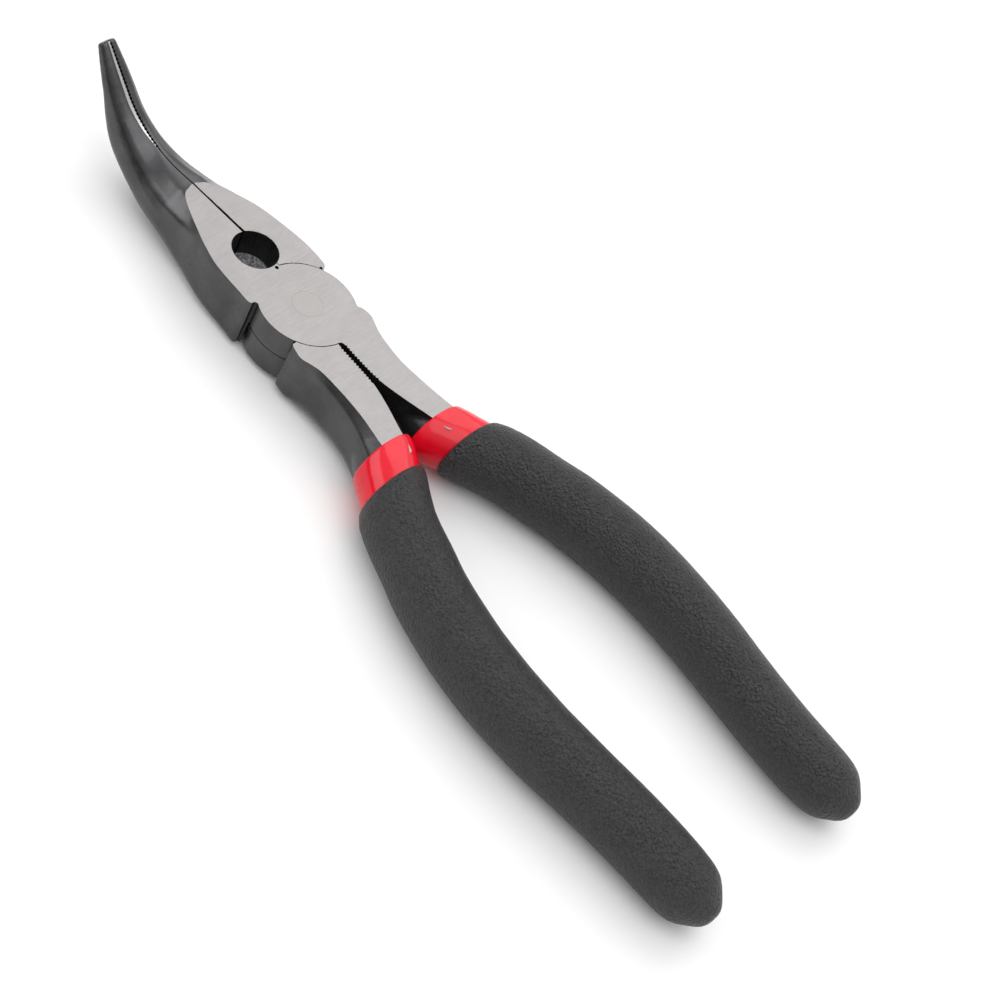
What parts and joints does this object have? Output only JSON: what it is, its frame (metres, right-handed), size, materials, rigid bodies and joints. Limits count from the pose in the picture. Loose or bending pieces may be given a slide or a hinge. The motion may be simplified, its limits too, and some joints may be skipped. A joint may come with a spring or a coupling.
{
  "type": "needle nose pliers",
  "caption": "Bent long nose pliers with a lap joint, a round pipe-grip hole in the jaws, ground steel faces, glossy collars and soft foam handle grips.",
  "frame": {"origin": "on the pivot axis, in the plane of the ground underside of the joint", "axes": "+Z along the pivot axis, from the ground underside to the ground top face; +X along the closed jaws towards the nose; +Y towards the upper lever's jaw"},
  "size_m": [0.2068, 0.0627, 0.0273],
  "materials": {
    "forged_steel": "forging blackened with oxide, its two flat faces ground bright with fine lines",
    "rivet_steel": "steel, ground flush with the faces",
    "red_sleeve": "glossy dipped vinyl",
    "black_foam": "matte pebbled foam skin"
  },
  "bodies": {
    "upper_half": {"upper_lever": "forged_steel", "pivot_rivet": "rivet_steel", "upper_collar_sleeve": "red_sleeve", "upper_foam_grip": "black_foam"},
    "lower_half": {"lower_lever": "forged_steel", "lower_collar_sleeve": "red_sleeve", "lower_foam_grip": "black_foam"}
  },
  "joints": [
    {"name": "pivot", "type": "hinge", "parent": "upper_half", "child": "lower_half", "pos_m": [0, 0, 0.006], "axis": [0, 0, -1], "range_deg": [0, 50]}
  ]
}
